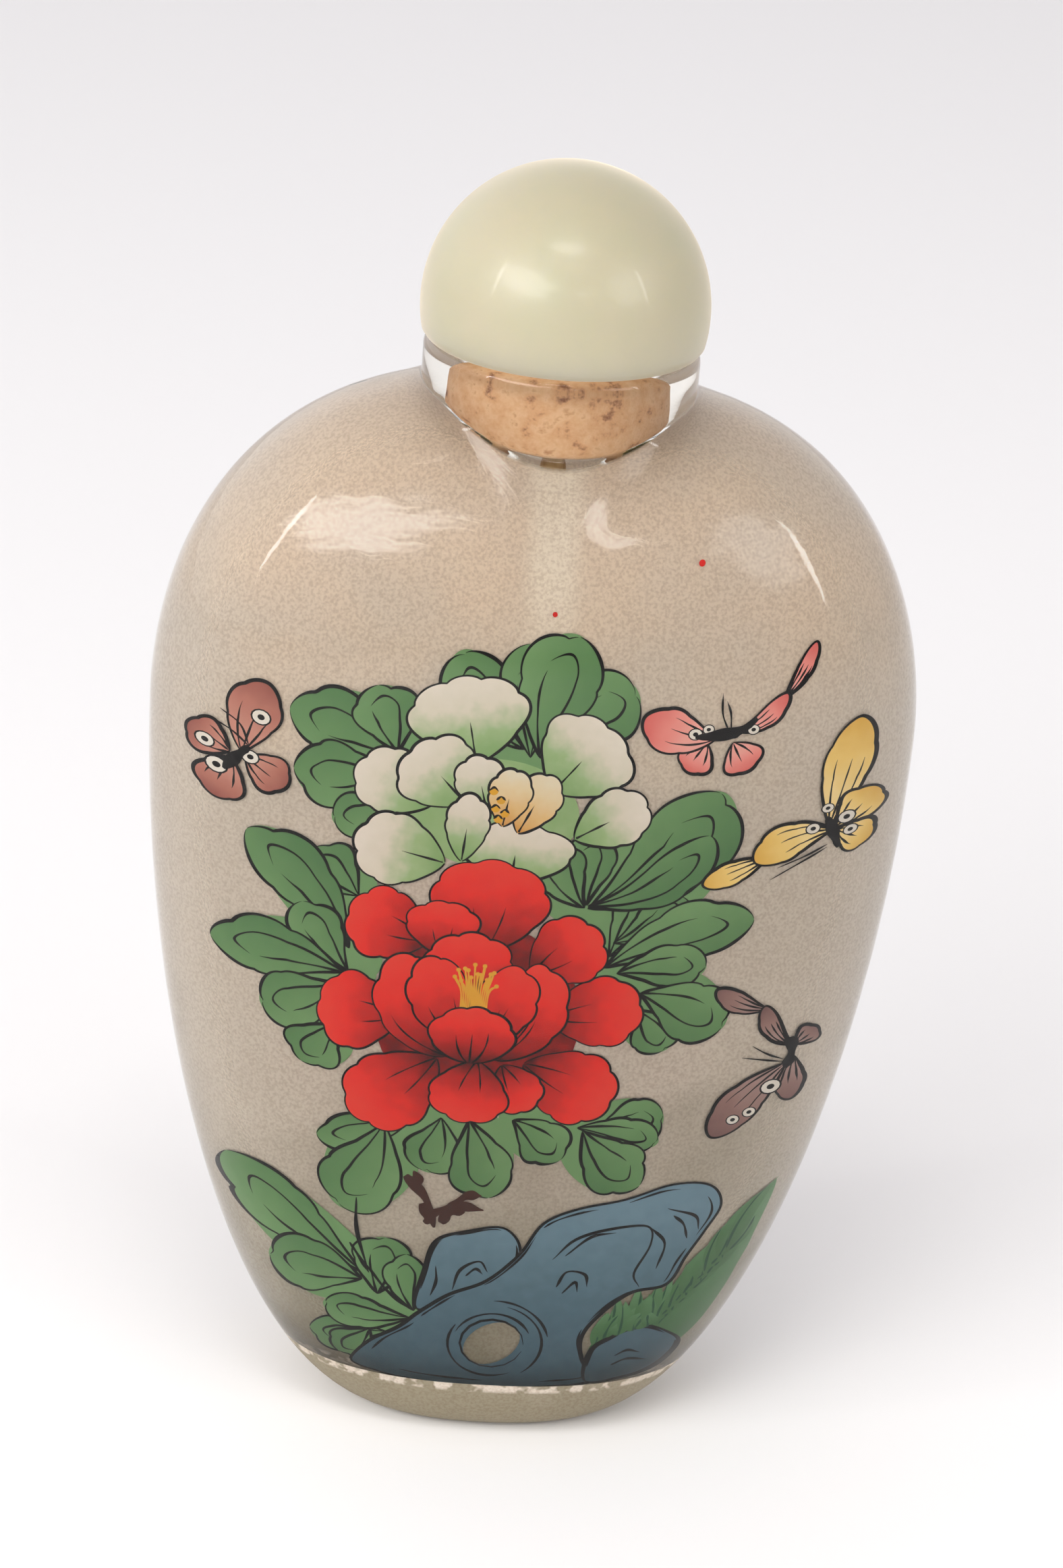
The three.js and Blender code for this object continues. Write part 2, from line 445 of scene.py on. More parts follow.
def cut_cork(colours):
    # Agglomerated cork, cut and sanded: warm granules of about 1 mm with dark pores
    material, tree = new_material("agglomerated cork, cut")
    place = add_node(tree, "ShaderNodeTexCoord").outputs["Object"]
    granules = add_node(
        tree,
        "ShaderNodeTexNoise",
        {"Vector": place, "Scale": per_metre(1.1), "Detail": 4.0, "Roughness": 0.65},
    ).outputs["Fac"]
    tone = add_node(
        tree,
        "ShaderNodeValToRGB",
        {"Fac": granules},
        stops=[
            (0.3, linear("#8a5633")),
            (0.42, colours.cork),
            (0.6, linear("#e6bb8e")),
            (0.75, linear("#bd7d4e")),
        ],
    ).outputs["Color"]
    bump = add_node(
        tree, "ShaderNodeBump", {"Height": granules, "Strength": 0.6, "Distance": 0.2 * MM}
    ).outputs["Normal"]
    shader = add_node(
        tree,
        "ShaderNodeBsdfPrincipled",
        {"Base Color": tone, "Roughness": 0.85, "IOR": 1.45, "Normal": bump},
    ).outputs["BSDF"]
    add_node(tree, "ShaderNodeOutputMaterial", {"Surface": shader})
    return material


def shaved_bamboo(colours):
    # Bamboo, split and shaved to a stick: pale yellow, with fibres of about 0.3 mm along it
    material, tree = new_material("bamboo, shaved")
    place = add_node(tree, "ShaderNodeTexCoord").outputs["Object"]
    along = add_node(
        tree, "ShaderNodeMapping", {"Vector": place, "Scale": (1.0, 1.0, 0.05)}
    ).outputs["Vector"]
    fibres = add_node(
        tree, "ShaderNodeTexNoise", {"Vector": along, "Scale": per_metre(0.3), "Detail": 2.0}
    ).outputs["Fac"]
    tone = add_node(
        tree,
        "ShaderNodeValToRGB",
        {"Fac": fibres},
        stops=[(0.3, linear("#c99f58")), (0.65, colours.bamboo)],
    ).outputs["Color"]
    shader = add_node(
        tree, "ShaderNodeBsdfPrincipled", {"Base Color": tone, "Roughness": 0.45, "IOR": 1.5}
    ).outputs["BSDF"]
    add_node(tree, "ShaderNodeOutputMaterial", {"Surface": shader})
    return material


def matt_floor(colours):
    # Coated paper, calendered matt: plain and pale
    material, tree = new_material("paper backdrop, matt")
    shader = add_node(
        tree, "ShaderNodeBsdfPrincipled", {"Base Color": colours.floor, "Roughness": 0.9, "IOR": 1.45}
    ).outputs["BSDF"]
    add_node(tree, "ShaderNodeOutputMaterial", {"Surface": shader})
    return material


# Meshes


def new_piece(name, vertices_mm, faces, materials):
    """A smooth mesh from points in millimetres, riding on the part's one body."""
    mesh = bpy.data.meshes.new(name)
    mesh.from_pydata(np.asarray(vertices_mm) * MM, [], faces)
    mesh.validate()
    for material in materials:
        mesh.materials.append(material)
    piece = bpy.data.objects.new(name, mesh)
    bpy.context.scene.collection.objects.link(piece)
    mesh.shade_smooth()
    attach(piece, "root")
    return piece


def loft(rings):
    """Vertices and faces of a skin through rings of points; the first and last ring may be one point."""
    vertices, starts = [], []
    for ring in rings:
        starts.append(len(vertices))
        vertices.extend(ring)
    faces = []
    for low, high, a, b in zip(rings, rings[1:], starts, starts[1:]):
        count = max(len(low), len(high))
        for i in range(count):
            j = (i + 1) % count
            if len(low) == 1:
                faces.append((a, b + j, b + i))
            elif len(high) == 1:
                faces.append((a + i, a + j, b))
            else:
                faces.append((a + i, a + j, b + j, b + i))
    return vertices, faces


def directions(count, crowding):
    """Unit steps round the compass from the front, closer together at the sides if crowding is under 1."""
    turn = np.linspace(0, 2 * np.pi, count, endpoint=False)
    steps = np.stack([np.sin(turn), -np.cos(turn) * crowding], -1)
    return steps / np.linalg.norm(steps, axis=1, keepdims=True)


def round_ring(radius, z):
    if radius == 0:
        return [(0.0, 0.0, z)]
    return [(x, y, z) for x, y in directions(ROUND_SEGMENTS, 1.0) * radius]


def quarter_round(centre_radius, centre_height, size, start, end):
    """Radius and height along a rounded edge, between two angles."""
    angles = np.linspace(start, end, EDGE_POINTS)
    return [(centre_radius + size * math.cos(a), centre_height + size * math.sin(a)) for a in angles]


class Shell:
    """A flattened body's outline: the glass outside, or the cavity inside."""

    def __init__(self, half_width, half_depth, foot_half, bottom, top, throat, fillet):
        self.half = half_width, half_depth
        self.foot_half = foot_half
        self.bottom, self.top = bottom, top
        self.throat, self.fillet = throat, fillet

    def section(self, z):
        """Half width and half depth at a height."""
        z = np.asarray(z, float)
        climbed = np.clip((z - WIDEST_HEIGHT) / (self.top - WIDEST_HEIGHT), 0, 1)
        closing = (1 - climbed**2) ** SHOULDER_FULLNESS
        below = np.clip((WIDEST_HEIGHT - z) / (WIDEST_HEIGHT - self.bottom), 0, 1)
        swell = np.clip(1 - below**SWELL_POWER, 0, 1)
        return [
            np.where(z > WIDEST_HEIGHT, half * closing, foot + (half - foot) * swell**fullness)
            for half, foot, fullness in zip(self.half, self.foot_half, (WIDTH_FULLNESS, DEPTH_FULLNESS))
        ]

    def ring(self, z, compass):
        """Points round the body at a height, opened out to the throat where the body is narrower."""
        half_width, half_depth = self.section(z)
        radius = np.zeros(len(compass))
        if half_width > 1e-6:
            across = (np.abs(compass[:, 0]) / half_width) ** SECTION_POWER
            deep = (np.abs(compass[:, 1]) / half_depth) ** SECTION_POWER
            radius = (across + deep) ** (-1 / SECTION_POWER)
        if z > WIDEST_HEIGHT:
            near = np.maximum(self.fillet - np.abs(radius - self.throat), 0) / self.fillet
            radius = np.maximum(radius, self.throat) + near**2 * self.fillet / 4
        return [(x, y, z) for x, y in compass * radius[:, None]]

    def heights(self, wall_rings, shoulder_rings):
        """Heights of the rings up the wall and then over the shoulder."""
        fall = np.cos(np.linspace(0, 1, wall_rings) * np.pi / 2) ** RING_CROWDING
        climb = np.sin(np.linspace(0, 1, shoulder_rings + 1)[1:] * np.pi / 2)
        wall = WIDEST_HEIGHT - (WIDEST_HEIGHT - self.bottom) * fall
        return [*wall, *(WIDEST_HEIGHT + (self.top - WIDEST_HEIGHT) * climb)]

    def face_depth(self, x, z, proud):
        """How far the face stands from the middle plane at a place across and up, drawn out by a little."""
        half_width, half_depth = self.section(z)
        across = np.clip(np.abs(x) / (half_width + proud), 0, 0.9995)
        return (half_depth + proud) * (1 - across**SECTION_POWER) ** (1 / SECTION_POWER)


def outside_shell(sizes):
    return Shell(
        sizes.width / MM / 2,
        sizes.depth / MM / 2,
        FOOT_HALF,
        0.0,
        BODY_TOP,
        sizes.neck_radius / MM,
        NECK_FILLET,
    )


def cavity_shell(sizes):
    return Shell(
        (sizes.width / 2 - sizes.side_wall) / MM,
        (sizes.depth / 2 - sizes.face_wall) / MM,
        FLOOR_HALF,
        sizes.floor_thickness / MM,
        BODY_TOP - SHOULDER_WALL,
        sizes.bore_radius / MM,
        BORE_FILLET,
    )


class SNUFFBOTTLE_OT_glass_body(Operator):
    """Build the hollow glass body, polished outside and frosted inside"""

    bl_idname = "snuff_bottle.glass_body"
    bl_label = "Glass body"

    def execute(self, context):
        sizes, colours = context.scene.snuff_bottle_sizes, context.scene.snuff_bottle_colours
        outside, cavity = outside_shell(sizes), cavity_shell(sizes)
        compass = directions(BODY_SEGMENTS, SIDE_CROWDING)
        lip, neck, bore = sizes.lip_height / MM, outside.throat, cavity.throat
        edge = quarter_round(neck - LIP_ROUND, lip - LIP_ROUND, LIP_ROUND, 0, math.pi / 2)
        mouth = quarter_round(bore + MOUTH_ROUND, lip - MOUTH_ROUND, MOUTH_ROUND, math.pi / 2, math.pi)
        flat = [(edge[-1][0] - LIP_FLAT_EDGE, lip), (mouth[0][0] + LIP_FLAT_EDGE, lip)]
        outer_heights = outside.heights(WALL_RINGS, SHOULDER_RINGS)
        inner_heights = cavity.heights(WALL_RINGS, CAVITY_SHOULDER_RINGS)
        foot, floor = outside.ring(outside.bottom, compass), cavity.ring(cavity.bottom, compass)
        outer_rings = [
            [(0.0, 0.0, outside.bottom)],
            [(x * FLAT_SHARE, y * FLAT_SHARE, z) for x, y, z in foot],
            *[outside.ring(z, compass) for z in outer_heights],
            *[[(x * r, y * r, z) for x, y in compass] for r, z in [*edge, *flat, *mouth]],
        ]
        inner_rings = [
            *[cavity.ring(z, compass) for z in reversed(inner_heights)],
            [(x * FLAT_SHARE, y * FLAT_SHARE, z) for x, y, z in floor],
            [(0.0, 0.0, cavity.bottom)],
        ]
        vertices, faces = loft([*outer_rings, *inner_rings])
        body = new_piece("glass_body", vertices, faces, [polished_glass(), frosted_glass(sizes, colours)])
        first_inside = sum(len(ring) for ring in outer_rings)
        for face in body.data.polygons:
            inside = min(face.vertices) >= first_inside
            face.material_index = int(inside or face.center.z < FOOT_BAND * MM)
        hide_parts("bottle")
        return {"FINISHED"}


# Picture


def spline(points, closed=False):
    """A smooth line through points."""
    p = np.asarray(points, float)
    p = np.vstack([p[-1:], p, p[:2]]) if closed else np.vstack([2 * p[0] - p[1], p, 2 * p[-1] - p[-2]])
    t = np.linspace(0, 1, SPLINE_STEPS, endpoint=False)[:, None]
    runs = [
        0.5 * (2 * b + (c - a) * t + (2 * a - 5 * b + 4 * c - d) * t**2 + (3 * b - a - 3 * c + d) * t**3)
        for a, b, c, d in zip(p, p[1:], p[2:], p[3:])
    ]
    return np.vstack(runs if closed else [*runs, p[-2:-1]])


def sideways(path):
    """Unit steps to the left of a path, at each of its points."""
    run = np.gradient(path, axis=0)
    stride = np.maximum(np.linalg.norm(run, axis=1, keepdims=True), 1e-9)
    return np.stack([-run[:, 1], run[:, 0]], -1) / stride


def oval(centre, half_width, half_height, points):
    turn = np.linspace(0, 2 * np.pi, points, endpoint=False)
    return np.asarray(centre) + np.stack([half_width * np.cos(turn), half_height * np.sin(turn)], -1)


def blade(base, tip, width, bend=0.0, belly=0.55, blunt=0.6, frill=0.0, waves=5, phase=0.0):
    """The outline and spine of a petal, leaf, wing or grass blade, from its base to its tip."""
    base, tip = np.asarray(base, float), np.asarray(tip, float)
    axis = tip - base
    side = np.array((-axis[1], axis[0]))
    s = (1 - np.cos(np.linspace(0, np.pi, SPINE_POINTS))) / 2
    spine = base + s[:, None] * axis + (bend * 4 * s * (1 - s))[:, None] * side
    half = width / 2 * np.sin(np.pi * s ** (math.log(0.5) / math.log(belly))) ** blunt
    reach = sideways(spine) * half[:, None]
    outline = np.vstack([spine - reach, (spine + reach)[-2:0:-1]])
    if frill:
        # Scallops round the middle that fade out toward the base
        middle = base + axis * 0.5
        spoke = outline - middle
        along = np.clip(((outline - base) @ axis / (axis @ axis) - 0.15) / 0.35, 0, 1)
        turn = np.arctan2(spoke @ side, spoke @ axis)
        scallop = np.abs(np.cos(waves * turn / 2 + phase)) ** 0.6 - 0.75
        outline = middle + spoke * (1 + frill * along * scallop)[:, None]
    return outline, spine


class Picture:
    """Flat figures on the wall, in millimetres across and up, in the order they are painted."""

    def __init__(self, ink_width):
        self.ink_width = ink_width
        self.points, self.faces, self.paint = [], [], []

    def add(self, points, faces, pigment, shade):
        start = len(self.points)
        self.points.extend(map(tuple, points))
        for face in faces:
            x, z = np.asarray(points)[list(face)].T
            area = (x * np.roll(z, -1) - np.roll(x, -1) * z).sum() / 2
            if abs(area) > 1e-5:
                self.faces.append([start + i for i in (face if area > 0 else face[::-1])])
                self.paint.append((pigment, shade))

    def fill(self, outline, pigment, shade=lambda p: 0.5):
        self.add(outline, [range(len(outline))], pigment, shade)

    def line(self, path, width=1.0, pigment="ink", start=0.3, end=0.15):
        """A brush line that swells and thins, as wide as the ink line times a number."""
        path = np.asarray(path, float)
        s = np.linspace(0, 1, len(path))
        swell = 1 + 0.3 * np.sin(9 * s + path[0, 0] * 5)
        press = np.minimum(np.minimum(start + s * 6, end + (1 - s) * 4), 1) * swell
        reach = sideways(path) * (self.ink_width * width / 2 * press)[:, None]
        n = len(path)
        faces = [(i, n + i, n + i + 1, i + 1) for i in range(n - 1)]
        self.add(np.vstack([path + reach, path - reach]), faces, pigment, lambda p: 0.5)

    def dot(self, centre, radius, pigment, squash=1.0):
        self.fill(oval(centre, radius, radius * squash, points=14), pigment)


def along_from(base, tip, start=0.0, end=1.0):
    """A shade that runs from 0 near the base to 1 near the tip."""
    base, axis = np.asarray(base, float), np.asarray(tip, float) - np.asarray(base, float)
    return lambda p: float(np.clip((((p - base) @ axis) / (axis @ axis) - start) / (end - start), 0, 1))


def paint_petal(picture, pigment, base, tip, width, phase, veins=2, belly=0.6, bend=0.0, ink=0.7):
    outline, spine = blade(base, tip, width, bend, belly, blunt=0.5, frill=0.1, waves=8, phase=phase)
    picture.fill(outline, pigment, along_from(base, tip))
    picture.line(np.vstack([outline, outline[:1]])[1:-1], ink, start=0.5, end=0.5)
    inner, _ = blade(base, tip, width * 0.55, belly=belly)
    for i in range(veins):
        lean = (i + 0.5) / veins - 0.5
        vein = spine + (inner[:SPINE_POINTS] - spine) * (2 * lean)
        picture.line(vein[4 : 22 + i], ink * 0.8, start=0.8, end=0.1)


def paint_leaf(picture, base, tip, width, bend):
    outline, spine = blade(base, tip, width, bend, belly=0.66, frill=0.13, phase=0.9 + 1.7 * tip[0])
    axis = np.asarray(tip, float) - np.asarray(base, float)
    side = np.array((-axis[1], axis[0])) / np.linalg.norm(axis)

    def shade(p):
        return float(np.clip(0.5 + ((p - np.asarray(base)) @ side) / width * 0.8, 0, 1))

    picture.fill(outline, "leaf", shade)
    picture.line(outline[:SPINE_POINTS], 0.85)
    picture.line(outline[SPINE_POINTS:][::-1], 0.75, start=0.1)
    fold = spine + (outline[:SPINE_POINTS] - spine) * -0.4
    picture.line(fold[3:27], 0.65)
    # The inner line runs up beside the spine and hooks back short of the tip
    run = np.linspace(0, 1, 30)
    rows = 3 + 29 * np.sin(0.66 * np.pi * run)
    reach = 0.4 - 0.8 * np.clip((run - 0.45) / 0.55, 0, 1) ** 1.3
    middle, edge = (
        np.stack([np.interp(rows, range(SPINE_POINTS), line[:SPINE_POINTS, i]) for i in (0, 1)], -1)
        for line in (spine, outline)
    )
    picture.line(middle + (edge - middle) * reach[:, None], 0.65)


def paint_leaves(picture, leaves):
    """Leaflets over one green wash that fills the gaps where they meet."""
    for base, tip, width, bend in leaves:
        base, tip = np.asarray(base, float), np.asarray(tip, float)
        start = base - (tip - base) * 0.25
        wash, _ = blade(start, tip, width * 1.12, bend, belly=0.52, blunt=0.5)
        picture.fill(wash, "leaf", lambda p: 0.85)
    for leaf in leaves:
        paint_leaf(picture, *leaf)


def paint_heart(picture, pigment, centre, half, shade):
    """The shaded middle that the petals of a flower spring from."""
    picture.fill(oval(centre, *half, points=40), pigment, lambda p: shade)


def paint_butterfly(picture, pigment, wings, body, feelers, spots):
    for base, tip, width, bend in wings:
        outline, spine = blade(base, tip, width, bend, belly=0.62, blunt=0.55, frill=0.08)
        picture.fill(outline, pigment, along_from(tip, base, 0.0, 0.7))
        picture.line(np.vstack([outline, outline[:1]]), 0.85, start=0.4, end=0.4)
        for lean in (-0.5, 0.1, 0.6):
            stroke = spine + (outline[:SPINE_POINTS] - spine) * lean
            picture.line(stroke[5:26], 0.5)
    for centre, radius in spots:
        picture.dot(centre, radius * 1.15, "ink", 0.85)
        picture.dot(centre, radius * 0.95, "white", 0.85)
        picture.dot(centre, radius * 0.4, "ink", 0.85)
    picture.line(spline(body), 2.8, start=0.4, end=0.3)
    for feeler in feelers:
        picture.line(spline(feeler), 0.5)


# The figures stand in millimetres across from the middle and up from the foot

# Each white petal: base, tip, width, and at the heart its pigment
WHITE_PEONY = (
    ((-3.9, 50.4), (-5.1, 55.9), 7.6),
    ((1.0, 48.8), (4.4, 53.2), 6.4),
    ((-6.4, 47.4), (-11.2, 49.6), 4.6),
    ((-4.4, 47.6), (-7.8, 51.2), 5.4),
    ((2.6, 45.6), (7.0, 48.3), 4.0),
    ((-5.4, 43.4), (-11.1, 44.5), 5.1),
    ((-1.2, 42.2), (-0.9, 46.5), 7.6),
)
WHITE_HEART = (
    ((-3.0, 47.0), (-4.0, 50.9), 3.3, "petal_white"),
    ((-1.0, 45.8), (0.9, 49.9), 3.0, "petal_cream"),
    ((-2.0, 46.2), (-1.4, 50.2), 2.8, "petal_cream"),
    ((-4.4, 43.6), (-4.0, 48.3), 2.8, "petal_white"),
)
# Each flower's shaded middle: centre, half width and half height
WHITE_MIDDLE = ((-2.6, 47.0), (5.4, 3.8))
RED_MIDDLE = ((-2.6, 32.6), (6.6, 6.8))
WHITE_STAMENS = ((-2.7, 48.6), (-2.2, 48.0), (-2.5, 47.4), (-1.9, 47.1), (-2.3, 46.7))
# Each red petal: base, tip, width, bend
RED_PEONY = (
    ((-2.6, 37.2), (-2.2, 43.8), 7.6, 0.0),
    ((-6.0, 37.8), (-11.2, 39.4), 5.2, 0.0),
    ((-5.2, 36.8), (-5.3, 40.7), 4.7, 0.0),
    ((0.6, 35.8), (4.7, 39.2), 5.0, 0.0),
    ((1.8, 32.8), (7.9, 33.8), 5.1, 0.0),
    ((-7.4, 32.2), (-12.7, 32.2), 5.7, 0.0),
    ((-5.0, 29.4), (-10.0, 24.5), 5.7, 0.0),
    ((0.6, 29.4), (6.5, 26.6), 5.4, 0.0),
    ((-0.8, 29.2), (1.1, 25.9), 3.5, 0.0),
    ((-2.4, 29.4), (-3.1, 24.8), 5.2, 0.0),
    ((-4.4, 29.6), (-6.9, 36.8), 4.2, 0.18),
    ((-1.4, 29.6), (0.9, 36.6), 4.0, -0.18),
    ((-3.2, 33.2), (-3.6, 38.6), 5.7, 0.0),
    ((-3.4, 30.6), (-5.4, 36.8), 4.0, 0.1),
    ((-2.6, 30.6), (-0.5, 36.4), 4.0, -0.1),
)
RED_CUP = ((-2.9, 29.2), (-2.8, 33.3), 5.6)
# Each leaflet: base, tip, width, bend
TOP_LEAVES = (
    ((-1.0, 51.5), (-5.2, 57.6), 4.2, 0.08),
    ((-0.6, 51.0), (-1.0, 58.2), 4.2, 0.0),
    ((0.6, 52.0), (5.9, 55.4), 4.8, 0.05),
    ((0.0, 51.0), (2.0, 58.9), 5.2, 0.05),
    ((-8.4, 50.2), (-15.4, 52.4), 4.5, -0.06),
    ((-8.8, 50.6), (-10.2, 54.8), 4.2, 0.0),
    ((-8.8, 49.4), (-15.0, 48.6), 4.5, 0.05),
    ((-8.0, 47.4), (-12.6, 45.7), 3.2, 0.05),
)
LEFT_LEAVES = (
    ((-10.6, 40.4), (-13.6, 43.2), 3.8, 0.0),
    ((-11.0, 36.6), (-17.6, 43.6), 4.2, -0.08),
    ((-11.0, 35.0), (-14.0, 39.4), 3.5, 0.05),
    ((-11.2, 34.8), (-19.2, 35.2), 4.1, -0.08),
    ((-11.4, 34.0), (-16.2, 31.5), 4.2, 0.05),
    ((-11.6, 31.0), (-13.5, 27.9), 3.8, 0.0),
)
RIGHT_LEAVES = (
    ((5.4, 37.4), (8.4, 42.8), 3.6, 0.0),
    ((5.6, 38.4), (9.8, 42.0), 3.0, -0.1),
    ((5.2, 36.6), (14.3, 39.8), 4.1, 0.08),
    ((6.0, 36.2), (11.7, 36.6), 3.2, 0.06),
    ((7.4, 33.6), (9.4, 30.5), 3.2, 0.05),
    ((7.6, 34.8), (13.1, 32.0), 4.5, 0.05),
    ((3.8, 40.8), (11.7, 49.0), 6.0, -0.1),
    ((3.8, 41.0), (11.2, 46.0), 3.2, -0.14),
    ((3.7, 41.0), (4.2, 46.0), 3.2, 0.06),
    ((3.6, 40.8), (1.2, 45.4), 3.6, 0.08),
)
LOWER_LEAVES = (
    ((-6.0, 25.2), (-12.2, 22.6), 2.8, 0.06),
    ((-8.0, 24.2), (-10.6, 17.4), 5.2, 0.06),
    ((-4.4, 25.0), (-5.4, 20.9), 3.8, 0.05),
    ((-2.6, 25.0), (-1.0, 19.2), 4.2, 0.0),
    ((0.2, 25.2), (3.4, 22.3), 3.5, 0.05),
    ((5.6, 24.6), (9.9, 25.7), 3.5, 0.0),
    ((4.4, 24.8), (9.7, 23.6), 2.5, 0.05),
    ((4.8, 24.6), (8.7, 20.4), 4.2, -0.05),
)
ROCK_LEAVES = (
    ((-8.6, 12.4), (-17.0, 18.9), 4.2, 0.04),
    ((-8.6, 11.8), (-14.2, 11.8), 4.6, -0.05),
    ((-7.6, 10.8), (-7.3, 15.4), 4.0, 0.0),
    ((-5.2, 9.8), (-5.9, 14.2), 2.9, 0.05),
    ((-6.8, 7.8), (-11.2, 6.6), 3.2, 0.05),
    ((-5.4, 9.2), (-10.8, 9.3), 2.8, 0.05),
    ((-7.8, 7.8), (-9.4, 5.2), 2.8, 0.0),
)
STEMS = (
    ((-9.4, 18.2), (-9.2, 15.6), (-8.2, 12.4)),
    ((-8.4, 13.0), (-6.8, 11.0), (-5.2, 9.8)),
    ((-9.6, 14.6), (-8.8, 13.4), (-8.2, 12.4)),
)
GRASS = (
    (6.4, 6.6), (7.6, 9.2), (9.6, 10.6), (11.8, 12.2), (13.6, 14.4), (15.2, 16.6), (16.6, 18.4),
    (17.3, 18.8), (16.7, 16.6), (15.7, 13.6), (14.3, 10.3), (12.7, 7.6), (10.6, 5.9), (8.0, 5.6),
)
# Each tuft: the low and high end of its root line, lean, blades, reach
BACK_TUFTS = (
    ((9.4, 7.2), (14.9, 14.2), (0.4, 0.88), 28, 5.2),
    ((6.8, 7.4), (9.8, 9.4), (0.25, 0.95), 10, 3.4),
)
FRONT_TUFT = ((7.2, 8.0), (10.4, 8.8), (0.2, 0.95), 8, 2.6)
TWIG = (
    ((-6.4, 20.4), (-5.0, 18.8), (-4.3, 16.6)),
    ((-5.2, 18.4), (-4.8, 17.4), (-4.8, 16.8)),
    ((-4.6, 17.6), (-3.0, 18.4), (-1.2, 18.2)),
    ((-3.4, 18.2), (-2.4, 19.2), (-1.4, 19.3)),
    ((-3.9, 17.0), (-3.4, 17.8), (-2.4, 18.0)),
    ((-5.6, 19.4), (-5.6, 20.2), (-5.9, 20.8)),
)
ROCK = (
    (-8.6, 4.7), (-7.8, 6.7), (-6.0, 8.4), (-4.8, 9.8), (-3.0, 11.4), (-0.6, 12.7), (1.4, 14.9),
    (2.8, 17.4), (5.0, 18.6), (8.0, 19.3), (11.0, 20.3), (13.4, 19.9), (14.2, 18.2), (13.3, 16.2),
    (12.2, 14.2), (11.2, 12.2), (9.0, 11.8), (7.2, 10.3), (6.0, 8.4), (6.1, 6.4), (6.9, 4.3),
    (4.0, 3.8), (0.0, 3.7), (-4.0, 3.8), (-7.0, 4.1),
)
ROCK_BACK = (
    (-5.0, 10.0), (-4.7, 13.4), (-4.1, 15.6), (-2.2, 16.5), (0.2, 16.9), (1.4, 15.4), (0.8, 13.4),
    (-2.0, 11.4),
)
ROCK_FRONT = (
    (6.4, 4.3), (6.6, 7.0), (8.0, 8.2), (10.0, 8.8), (11.4, 7.9), (11.9, 6.6), (10.4, 4.8), (8.4, 4.2),
)
ROCK_HOLE = (0.1, 7.6)
# Each groove round the hole: radius, start and sweep in radians
HOLE_LINES = (
    (2.1, 0.0, 6.0),
    (2.6, 0.4, 2.4),
    (2.9, 2.6, 2.6),
    (3.3, 5.4, 2.2),
    (3.7, 0.2, 1.4),
)
ROCK_LINES = (
    ((3.6, 14.6), (5.0, 16.2), (7.2, 17.0), (9.6, 17.1), (9.9, 15.6), (9.0, 13.4), (9.4, 12.2)),
    ((4.4, 14.9), (6.0, 16.4), (7.6, 16.7)),
    ((9.9, 16.9), (10.8, 15.6), (10.4, 13.6)),
    ((-2.8, 11.8), (-2.4, 13.4), (-1.2, 14.2), (-0.6, 13.4)),
    ((-2.0, 13.0), (-1.4, 13.6), (-0.9, 13.2)),
    ((4.0, 12.4), (4.6, 13.6), (5.8, 13.4), (6.0, 12.4)),
    ((4.4, 11.9), (5.2, 12.8), (5.4, 12.0)),
    ((11.2, 17.8), (11.9, 17.0), (12.2, 15.8)),
    ((10.8, 18.4), (12.6, 17.6), (12.9, 16.4)),
    ((-4.2, 11.2), (-3.9, 12.4), (-4.0, 13.6)),
    ((8.2, 6.4), (9.0, 6.8), (9.8, 6.4)),
    ((8.0, 5.6), (9.0, 6.0), (10.2, 5.6)),
)
